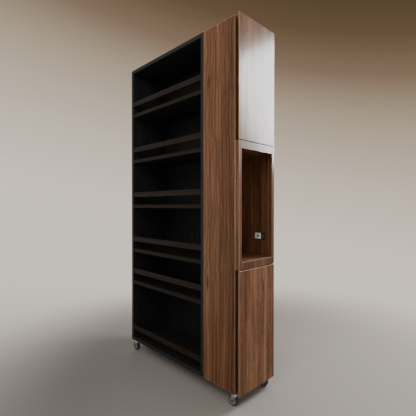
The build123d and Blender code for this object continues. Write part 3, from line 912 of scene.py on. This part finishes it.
def shelfPinSpots():
    low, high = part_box("shelf_support_pins")
    radius, hold = fasteners["shelfPin"]["radius"], fasteners["shelfPin"]["hold"]
    sides = ((low.x + hold, 1), (high.x - hold, -1))
    rows = [(y, z) for y in (low.y + radius, high.y - radius) for z in (low.z + radius, high.z - radius)]
    return [((x, y, z), (side, 0, 0)) for x, side in sides for y, z in rows]


# Castors: pressed zinc fork with a race cup, grey ribbed disc, rubber tyre and a hexagon bolt
castor = {
    "plateSize": 0.04,
    "plateCorner": 0.004,
    "plateThickness": 0.0025,
    "raceRadius": 0.0135,
    "raceCup": 0.005,
    "pinHole": 0.0033,
    "domeRise": 0.0072,
    "domeHole": 0.0034,
    "sheet": 0.002,
    "crownDrop": 0.0025,
    "bend": 0.0032,
    "emboss": 0.00045,
    "embossInset": (0.0026, 0.0042),
    "embossFoot": (0.0095, 0.012),
    "embossTop": (0.0065, 0.009),
    "boss": 0.008,
    "boltHead": 0.0055,
    "boltRise": 0.003,
    "boltRadius": 0.003,
    "washer": (0.0066, 0.0008),
    "hub": 0.0075,
    "bore": 0.00304,
    "dish": 0.003,
    "rimWall": 0.0035,
    "tyreDepth": 0.007,
    "shoulder": 0.0046,
    "ribs": 6,
    "ribThickness": 0.0018,
    "grooveAt": 0.0036,
}


# The two touching lines that run from the crown down round the boss, as (y, z) limits at a height
def forkSpan(height, crown, axle, crownHeight):
    radius = castor["boss"]
    ends = []
    for side, y in zip((-1, 1), crown):
        toCrown = Vector((y - axle.y, crownHeight - axle.z))
        offset = math.acos(radius / toCrown.length)
        angle = math.atan2(toCrown.y, toCrown.x) - side * offset
        touch = Vector((axle.y + radius * math.cos(angle), axle.z + radius * math.sin(angle)))
        if height > touch.y:
            share = min(1.0, (height - touch.y) / (crownHeight - touch.y))
            ends.append(touch.x + (y - touch.x) * share)
        else:
            drop = min(radius, abs(height - axle.z))
            ends.append(axle.y + side * math.sqrt(radius**2 - drop**2))
    return ends


def smoothStep(low, high, value):
    share = min(1.0, max(0.0, (value - low) / (high - low)))
    return share * share * (3 - 2 * share)


# Height of the leg's stations, then the bend into the crown, as (half width, height)
def forkProfile(half, axle, crownTop):
    bend, boss = castor["bend"], castor["boss"]
    leg = [axle.z - boss * math.cos(math.radians(step * 7.5)) for step in range(1, 12)]
    start, climb = leg[-1], crownTop - bend - leg[-1]
    leg += [start + climb * step / 26 for step in range(1, 27)]
    turns = [math.radians(angle) for angle in (18, 36, 54, 72, 90)]
    profile = [(half, height) for height in leg]
    return profile + [(half - bend * (1 - math.cos(a)), crownTop - bend * (1 - math.sin(a))) for a in turns]


# How far the leg is pressed outward at a point: none near its edges, its foot and its top
def embossAt(inset, height, axle, crownTop):
    inside = smoothStep(*castor["embossInset"], inset)
    aboveFoot = smoothStep(*castor["embossFoot"], height - axle.z)
    belowTop = smoothStep(*castor["embossTop"], crownTop - height)
    return castor["emboss"] * inside * aboveFoot * belowTop


def makeFork(place):
    low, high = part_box(f"{place}_fork")
    pivot = jointPoint(f"{place}_swivel_turn")
    axle = jointPoint(f"{place}_wheel_spin")
    radius, rise = castor["raceRadius"], castor["raceCup"]
    crownTop = high.z - rise
    crown = (pivot.y - radius, pivot.y + radius + (axle.y - pivot.y) / 2)
    half = pivot.x - low.x
    rightSide = forkProfile(half, axle, crownTop)
    across = [(-x, z) for x, z in rightSide] + [(x, z) for x, z in reversed(rightSide)]
    columns = [(1 - math.cos(math.pi * step / 18)) / 2 for step in range(19)]
    shape = bmesh.new()
    rows = []
    for x, z in across:
        yLow, yHigh = forkSpan(z, crown, axle, crownTop - castor["crownDrop"])
        row = []
        for share in columns:
            y = yLow + (yHigh - yLow) * share
            onLeg = abs(x) > half - 0.0001
            outward = embossAt(min(y - yLow, yHigh - y), z, axle, crownTop) if onLeg else 0.0
            row.append(shape.verts.new((pivot.x + x + math.copysign(outward, x), y, z)))
        rows.append(row)
    for first, second in zip(rows, rows[1:]):
        for i in range(len(columns) - 1):
            shape.faces.new((first[i], first[i + 1], second[i + 1], second[i]))
    bmesh.ops.recalc_face_normals(shape, faces=shape.faces)
    topFace = max(shape.faces, key=lambda face: face.calc_center_median().z)
    if topFace.normal.z < 0:
        bmesh.ops.reverse_faces(shape, faces=shape.faces)
    sheet = addShape(f"{place}_fork_sheet", shape)
    solid = sheet.modifiers.new("sheet", "SOLIDIFY")
    solid.thickness = castor["sheet"]
    solid.offset = -1
    solid.use_even_offset = True
    settle(sheet)
    shape = bmesh.new()
    shape.from_mesh(sheet.data)
    bmesh.ops.remove_doubles(shape, verts=shape.verts, dist=0.00001)
    bpy.data.objects.remove(sheet)
    cup = [(-0.0004, castor["pinHole"]), (-0.0004, radius - 0.0006), (0.0006, radius - 0.0004, 0.0006)]
    cup += [(rise, radius, 0.0005), (rise, radius - 0.0012, 0.0005)]
    cup += [(rise - 0.0016, radius - 0.0018, 0.0006), (rise - 0.0016, castor["pinHole"], 0.0003)]
    seat = Matrix.Translation((pivot.x, pivot.y, crownTop))
    turnSection(shape, softened(cup, steps=3), seat, 56, looped=True)
    fork = makePiece(f"{place}_pressed_fork", shape, [brightZinc], 40)
    attach(fork, f"{place}_swivel", "fork_zinc", f"{place}_fork")


# Hexagon head or nut on a place: a washer under it, its corners turned off, and a dimple in its outer face
def addHexagon(shape, place, dimple):
    washer, washerRise = castor["washer"]
    head, rise, bolt = castor["boltHead"], castor["boltRise"], castor["boltRadius"]
    disc = [(0, bolt), (0, washer, 0.0002), (washerRise, washer, 0.0003), (washerRise, bolt)]
    turnSection(shape, softened(disc, steps=2), place, 40, looped=True)
    apothem = head * math.cos(math.pi / 6)
    levels = [(washerRise, 0.98), (washerRise + 0.0002, 1.0), (rise, 1.0), (rise, 0.93), (rise, 0.6)]
    rings = []
    for along, limit in levels:
        ring = []
        for step in range(48):
            angle = 2 * math.pi * step / 48
            within = (angle + math.pi / 6) % (math.pi / 3) - math.pi / 6
            flat = apothem / math.cos(math.pi / 6 - abs(within))
            outer = flat * limit if limit > 0.95 else apothem * limit / 0.95
            drop = (flat - apothem) * 0.55 if limit == 1.0 and along == rise else 0.0
            ring.append(place @ Vector((outer * math.cos(angle), outer * math.sin(angle), along - drop)))
        rings.append(ring)
    rings.append([place @ Vector((0, 0, rise - dimple))])
    made = skinRings(shape, rings)
    shape.faces.new(made[0])


def makeAxle(place):
    low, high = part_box(f"{place}_axle")
    axle = jointPoint(f"{place}_wheel_spin")
    rise, radius = castor["boltRise"], castor["boltRadius"]
    left, right = low.x + rise, high.x - rise
    shape = bmesh.new()
    addHexagon(shape, placeFacing((left, axle.y, axle.z), (-1, 0, 0)), 0.0003)
    addHexagon(shape, placeFacing((right, axle.y, axle.z), (1, 0, 0)), 0.0)
    shank = [(0, 0), (0, radius), (right - left, radius), (right - left, 0)]
    turnSection(shape, shank, placeFacing((left, axle.y, axle.z), (1, 0, 0)), 32)
    bolt = makePiece(f"{place}_axle_bolt", shape, [boltSteel], 25)
    attach(bolt, f"{place}_swivel", "axle_black", f"{place}_axle")


# A rib that narrows towards its top and has rounded edges
def makeRib(name, length, low, high):
    shape = bmesh.new()
    bmesh.ops.create_cube(shape, size=1.0)
    for vertex in shape.verts:
        shrink, taper = (0.94, 0.8) if vertex.co.z > 0 else (1.0, 1.0)
        x = vertex.co.x * length * shrink
        z = low + (vertex.co.z + 0.5) * (high - low)
        vertex.co = Vector((x, vertex.co.y * castor["ribThickness"] * taper, z))
    bmesh.ops.bevel(shape, geom=shape.edges, offset=0.00025, segments=2, profile=0.5, affect="EDGES")
    return makePiece(name, shape)


def makeWheel(place):
    low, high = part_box(f"{place}_wheel")
    axle = jointPoint(f"{place}_wheel_spin")
    half, core = (high.x - low.x) / 2, (high.z - low.z) / 2
    hub, dish = castor["hub"], castor["dish"]
    rimInner = core - castor["rimWall"]
    outward = [
        (half - 0.001, core, 0.0003),
        (half - 0.001, rimInner, 0.0006),
        (half - dish, rimInner - 0.001, 0.0008),
        (half - dish, hub + 0.0012, 0.0008),
        (half, hub, 0.0007),
        (half, castor["bore"], 0.0003),
    ]
    section = [(-x, radius, cut) for x, radius, cut in reversed(outward)] + outward
    shape = bmesh.new()
    turnSection(shape, softened(section, steps=3), placeFacing(axle, (1, 0, 0)), 72, looped=True)
    wheel = makePiece(f"{place}_wheel_disc", shape, [greyNylon])
    inner, outer = hub + 0.0008, rimInner - 0.0002
    rib = makeRib("wheelRib", outer - inner, half - dish - 0.0004, half - 0.0013)
    values = {"Rib": rib, "Count": castor["ribs"], "Ring Radius": (inner + outer) / 2}
    runTree(wheel, ribbedDisc, {"Centre": axle, "Finish": greyNylon, **values})
    bpy.data.objects.remove(rib)
    attach(wheel, f"{place}_roller", "wheel_grey", f"{place}_wheel")


def makeTyre(place):
    low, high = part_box(f"{place}_tyre")
    axle = jointPoint(f"{place}_wheel_spin")
    half, radius = (high.x - low.x) / 2, (high.z - low.z) / 2
    core = radius - castor["tyreDepth"]
    side = [(half, core, 0.0003), (half, core + 0.0012), (half - 0.0003, core + 0.0014)]
    side += [(half - 0.0003, core + 0.0018), (half, core + 0.002), (half, radius, castor["shoulder"])]
    groove = []
    for x in (castor["grooveAt"], -castor["grooveAt"]):
        groove += [(x + 0.0005, radius), (x + 0.0002, radius - 0.0005), (x - 0.0002, radius - 0.0005)]
        groove.append((x - 0.0005, radius))
    section = side + groove + [(-point[0], *point[1:]) for point in reversed(side)]
    shape = bmesh.new()
    turnSection(shape, softened(section, steps=7), placeFacing(axle, (1, 0, 0)), 96, looped=True)
    tyre = makePiece(f"{place}_rubber_tyre", shape, [tyreRubber])
    attach(tyre, f"{place}_roller", "tyre_black", f"{place}_tyre")


# The four screwed plates, each with the pressed dome of its upper race
def makePlates():
    low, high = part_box("castor_plates")
    size, thickness = castor["plateSize"], castor["plateThickness"]
    radius, rise, hole = castor["raceRadius"], castor["domeRise"], castor["domeHole"]
    edge = 0.0006
    levels = ((0, 0.012), (0, edge), (edge, 0), (thickness - edge, 0), (thickness, edge))
    dome = [(0.0003, hole), (0.0003, radius - 0.0019), (0.0009, radius - 0.0013)]
    dome += [(rise * 0.55, radius - 0.0009), (rise * 0.8, radius - 0.0004), (rise * 0.94, radius)]
    dome += [(rise + 0.0004, radius + 0.0005), (rise + 0.0004, hole)]
    shape = bmesh.new()
    for place in castorPlaces:
        pivot = jointPoint(f"{place}_swivel_turn")
        rings = []
        for height, inset in levels:
            side, corner = size - 2 * inset, castor["plateCorner"] - min(inset, 0.003)
            outline = roundedRectangle(side, side, corner)
            level = high.z - thickness + height
            rings.append([Vector((pivot.x + x, pivot.y + y, level)) for x, y in outline])
        made = skinRings(shape, rings)
        shape.faces.new(made[-1])
        shape.faces.new(made[0])
        turnSection(shape, dome, Matrix.Translation((pivot.x, pivot.y, low.z - 0.0003)), 56, looped=True)
    plates = makePiece("castor_top_plates", shape, [brightZinc])
    attach(plates, "cabinet", "castor_zinc", "castor_plates")


for place in castorPlaces:
    makeFork(place)
    makeAxle(place)
    makeWheel(place)
    makeTyre(place)
makePlates()
print("castors built")

screws = (
    ("shelf_board_screws", "longScrew", shelfScrewSpots(), blackZinc, "shelf_unit_screws", "screw_zinc"),
    ("castor_plate_screws", "castorScrew", castorScrewSpots(), nickel, "castor_screws", "steel"),
    ("hinge_leaf_screws", "hingeScrew", hingeScrewSpots(), nickel, "carcass_hinge_screws", "steel"),
)
for name, kind, spots, finish, replaced, slotName in screws:
    setFasteners(name, screwBlank(kind, fasteners[kind]), spots, finish, replaced, slotName)
pins = pinBlank("shelfPin", fasteners["shelfPin"])
setFasteners("shelf_pins", pins, shelfPinSpots(), nickel, "shelf_support_pins", "steel", turn=0.0)
print("screws and shelf pins set")


# Power outlet on the niche's right wall: thin cover, white socket, black charging module
outlet = {
    "coverCorner": 0.004,
    "opening": (0.047, 0.037),
    "moduleOpening": (0.024, 0.035),
    "openingCorner": 0.0016,
    "faceEdge": 0.001,
    "well": 0.0085,
    "wellDepth": 0.011,
    "contactSpacing": 0.0062,
    "port": (0.012, 0.0045),
    "portCorner": 0.0012,
    "portSpacing": 0.014,
    "portDepth": 0.009,
    "portWall": 0.0003,
    "socketCorner": 0.0022,
    "moduleCorner": 0.0018,
    "turns": 64,
}


# Points in the wall's plane, (y, z) about a centre, at a depth x
def onWall(points, centre, x):
    return [Vector((x, centre.y + y, centre.z + z)) for y, z in points]


# A flat plate with openings, thick from front to back
def platedOpenings(shape, outlines, front, back):
    edges = []
    for outline in outlines:
        verts = [shape.verts.new(point) for point in outline]
        edges += [shape.edges.new((first, second)) for first, second in zip(verts, verts[1:] + verts[:1])]
    filled = bmesh.ops.triangle_fill(shape, use_beauty=True, use_dissolve=True, edges=edges)["geom"]
    faces = [item for item in filled if isinstance(item, bmesh.types.BMFace)]
    for face in faces:
        face.normal_update()
    extruded = bmesh.ops.extrude_face_region(shape, geom=faces)["geom"]
    moved = [item for item in extruded if isinstance(item, bmesh.types.BMVert)]
    bmesh.ops.translate(shape, verts=moved, vec=(back - front, 0, 0))


def makeOutletCover():
    low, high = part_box("outlet_frame")
    centre = (low + high) / 2
    shape = bmesh.new()
    sheet = roundedRectangle(high.y - low.y, high.z - low.z, outlet["coverCorner"])
    outlines = [onWall(sheet, centre, low.x)]
    for kind, node in (("opening", "outlet_socket"), ("moduleOpening", "outlet_charging_module")):
        opening = roundedRectangle(*outlet[kind], outlet["openingCorner"])
        outlines.append(onWall(opening, middleOf(node), low.x))
    platedOpenings(shape, outlines, low.x, high.x)
    cover = makePiece("outlet_cover", shape, [blackPlastic])
    addBevel(cover, 0.0005, 3, 50)
    attach(cover, "cabinet", "black_plastic", "outlet_frame")


def makeSocket():
    low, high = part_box("outlet_socket")
    centre = (low + high) / 2
    edge = outlet["faceEdge"]
    width, height = high.y - low.y, high.z - low.z
    rings = []
    for x, inset in ((high.x, 0), (low.x + edge, 0), (low.x + edge * 0.3, edge * 0.3), (low.x, edge)):
        corner = outlet["socketCorner"] - inset / 2
        outline = roundedRectangle(width - 2 * inset, height - 2 * inset, corner, steps=15)
        rings.append(onWall(outline, centre, x))
    well, count = outlet["well"], outlet["turns"]
    start = math.atan2(-height, -width) + math.pi / count
    rim = [(0, well + 0.0022), (0.0002, well + 0.0019), (0.0002, well + 0.0006), (0.0007, well)]
    for depth, radius in (*rim, (0.002, well)):
        rings.append(onWall(circlePoints(radius, count, start), centre, low.x + depth))
    shape = bmesh.new()
    made = skinRings(shape, rings)
    shape.faces.new(made[0])
    floorX = low.x + outlet["wellDepth"]
    floorPoints = onWall(circlePoints(well - 0.0004, count, start), centre, floorX)
    floor = [shape.verts.new(point) for point in floorPoints]
    # The well's walls and floor are black plastic: a dark lining that paints the shade of the deep recess
    for i in range(count):
        corners = (made[-1][i], made[-1][(i + 1) % count], floor[(i + 1) % count], floor[i])
        shape.faces.new(corners).material_index = 1
    shape.faces.new(floor).material_index = 1
    sleeve = [(-0.0005, 0.0011), (-0.0005, 0.0019), (0.0009, 0.0019), (0.0012, 0.0016), (0.0012, 0.0011)]
    for side in (-1, 1):
        spot = placeFacing((floorX, centre.y + side * outlet["contactSpacing"] / 2, centre.z), (-1, 0, 0))
        turnSection(shape, sleeve, spot, 24, looped=True, material=2)
    socket = makePiece("outlet_socket_body", shape, [whitePlastic, blackPlastic, nickel])
    attach(socket, "cabinet", "white_plastic", "outlet_socket")


def makeChargingModule():
    low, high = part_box("outlet_charging_module")
    centre = (low + high) / 2
    portWidth, portHeight = outlet["port"]
    ports = [Vector((low.x, centre.y, centre.z + side * outlet["portSpacing"] / 2)) for side in (-1, 1)]
    portOutline = roundedRectangle(portWidth, portHeight, outlet["portCorner"])
    shape = bmesh.new()
    face = roundedRectangle(high.y - low.y, high.z - low.z, outlet["moduleCorner"])
    outlines = [onWall(face, centre, low.x), *(onWall(portOutline, port, low.x) for port in ports)]
    platedOpenings(shape, outlines, low.x, high.x)
    module = makePiece("charging_module_body", shape, [blackPlastic])
    addBevel(module, 0.0004, 3, 50)
    attach(module, "cabinet", "black_plastic", "outlet_charging_module")
    shape = bmesh.new()
    wall, corner = outlet["portWall"], outlet["portCorner"]
    inside = roundedRectangle(portWidth - 2 * wall, portHeight - 2 * wall, corner - wall)
    outside = roundedRectangle(portWidth - 0.00002, portHeight - 0.00002, corner)
    tongue = roundedRectangle(portWidth * 0.68, 0.0012, 0.0003, 2)
    start, end = low.x + 0.0004, low.x + outlet["portDepth"]
    for port in ports:
        sleeve = [(outside, start), (outside, end), (inside, end), (inside, start)]
        skinRings(shape, [onWall(outline, port, x) for outline, x in sleeve], looped=True)
        tongueRings = [onWall(tongue, port, x) for x in (low.x + 0.0012, end)]
        for ring in skinRings(shape, tongueRings, material=1):
            shape.faces.new(ring).material_index = 1
    shells = makePiece("charging_port_shells", shape, [nickel, whitePlastic])
    attach(shells, "cabinet", "steel")


makeOutletCover()
makeSocket()
makeChargingModule()
print("outlet built")


# Camera, floor and light
studio = {
    "cameraPlace": (-1.526, -1.686, 1.126),
    "cameraTurn": 44.55,
    "cameraPitch": -0.35,
    "lens": 28.0,
    "floorRadius": 6.0,
    "floorCentre": (0.25, -0.25, 0.0),
    "floorFade": (1.0, 2.6),
    # The floor's colour where it is lit, then the darker painted shadow towards the camera's left and where it
    # spans
    "floorColour": (0.25, 0.232, 0.217, 1),
    "floorPaintedShadow": (0.165, 0.152, 0.143, 1),
    "floorShadowSpan": (-0.95, -0.05),
    "ambient": 0.7,
    "ambientColour": (1.0, 0.95, 0.9, 1),
    "skyTurn": 0.22,
    "sky": (
        (-0.6, (0.46, 0.42, 0.39, 1)),
        (-0.3, (0.9, 0.81, 0.72, 1)),
        (-0.05, (0.93, 0.82, 0.72, 1)),
        (0.13, (0.76, 0.64, 0.53, 1)),
        (0.33, (0.457, 0.366, 0.262, 1)),
        (0.43, (0.25, 0.172, 0.115, 1)),
        (0.52, (0.14, 0.09, 0.05, 1)),
        (0.62, (0.085, 0.054, 0.027, 1)),
    ),
}

# Two soft lights light the cart without being mirrored, and two panels are only seen in glossy finishes
softboxes = {
    "keySoftbox": {
        "place": (2.15, -1.4, 2.4),
        "target": (0.2, -0.4, 0.6),
        "size": (1.0, 1.5),
        "power": 110.0,
        "colour": (1.0, 0.97, 0.94),
    },
    "doorPanel": {
        "place": (1.746, -1.538, 2.36),
        "target": (0.946, -0.938, 2.36),
        "roll": 22,
        "size": (0.84, 1.36),
        "power": 168.0,
        "colour": (0.93, 0.98, 1.0),
        "mirrored": True,
    },
    "leftFill": {
        "place": (-2.7, -1.3, 3.2),
        "target": (0.0, -0.3, 1.6),
        "size": (1.6, 1.6),
        "power": 56.0,
        "colour": (1.0, 0.95, 0.9),
    },
    "edgePanel": {
        "place": (-2.9, -2.9, 1.7),
        "target": (0.0, -0.5, 1.1),
        "size": (0.8, 1.8),
        "power": 90.0,
        "colour": (1.0, 0.97, 0.93),
        "mirrored": True,
    },
}


def addCamera():
    data = bpy.data.cameras.new("camera")
    data.lens = studio["lens"]
    camera = addObject("camera", data)
    camera.location = studio["cameraPlace"]
    pitch, turn = math.radians(90 + studio["cameraPitch"]), math.radians(-studio["cameraTurn"])
    camera.rotation_euler = (pitch, 0, turn)
    bpy.context.scene.camera = camera


def addFloor():
    shape = bmesh.new()
    bmesh.ops.create_circle(shape, cap_ends=True, segments=96, radius=studio["floorRadius"])
    material, tree, shader, position = newMaterial("paleFloor", Roughness=0.75)
    # Painted shadow: the floor is painted darker towards the camera's left, where the cart's shadow falls, and
    # lighter to its right
    turn = math.radians(studio["cameraTurn"])
    aside = (math.cos(turn), -math.sin(turn), 0)
    sideways = addVectorMath(tree, "DOT_PRODUCT", position, aside, "Value")
    share = ramped(tree, sideways, *studio["floorShadowSpan"])
    tone = mixColour(tree, share, studio["floorPaintedShadow"], studio["floorColour"])
    tree.links.new(tone, shader.inputs["Base Color"])
    length = addVectorMath(tree, "DISTANCE", position, studio["floorCentre"], "Value")
    near, far = studio["floorFade"]
    tree.links.new(ramped(tree, length, near, far, 1.0, 0.0), shader.inputs["Alpha"])
    addShape("floor", shape, [material])


def addSoftbox(name, place, target, size, power, colour, roll=0, mirrored=False):
    data = bpy.data.lights.new(name, "AREA")
    data.shape = "RECTANGLE"
    data.size, data.size_y = size
    data.energy = power
    data.color = colour
    light = addObject(name, data)
    light.location = place
    aim = (Vector(target) - Vector(place)).to_track_quat("-Z", "Y")
    light.rotation_euler = (aim @ Euler((0, 0, math.radians(roll))).to_quaternion()).to_euler()
    light.visible_camera = False
    light.visible_diffuse = not mirrored
    light.visible_glossy = mirrored


def addSky():
    world = bpy.data.worlds.new("studioSky")
    world.use_nodes = True
    bpy.context.scene.world = world
    tree = world.node_tree
    backdrop = tree.nodes["Background"]
    sockets = {"Color": studio["ambientColour"], "Strength": studio["ambient"]}
    ambient = addNode(tree, "ShaderNodeBackground", sockets)
    direction = addNode(tree, "ShaderNodeTexCoord").outputs["Generated"]
    turn = math.radians(studio["cameraTurn"])
    leaning = (studio["skyTurn"] * math.cos(turn), -studio["skyTurn"] * math.sin(turn), 1.0)
    height = addVectorMath(tree, "DOT_PRODUCT", direction, leaning, "Value")
    low, high = studio["sky"][0][0], studio["sky"][-1][0]
    sockets = {"Value": height, "From Min": low, "From Max": high}
    share = addNode(tree, "ShaderNodeMapRange", sockets).outputs["Result"]
    ramp = addNode(tree, "ShaderNodeValToRGB", {"Fac": share})
    fillRamp(ramp.color_ramp, [((level - low) / (high - low), colour) for level, colour in studio["sky"]])
    tree.links.new(ramp.outputs["Color"], backdrop.inputs["Color"])
    seen = addNode(tree, "ShaderNodeLightPath").outputs["Is Camera Ray"]
    choice = addNode(tree, "ShaderNodeMixShader", {0: seen, 1: ambient.outputs[0], 2: backdrop.outputs[0]})
    tree.links.new(choice.outputs[0], tree.nodes["World Output"].inputs["Surface"])


addCamera()
addFloor()
addSky()
for name, settings in softboxes.items():
    addSoftbox(name, **settings)
print("camera, floor and lights placed")
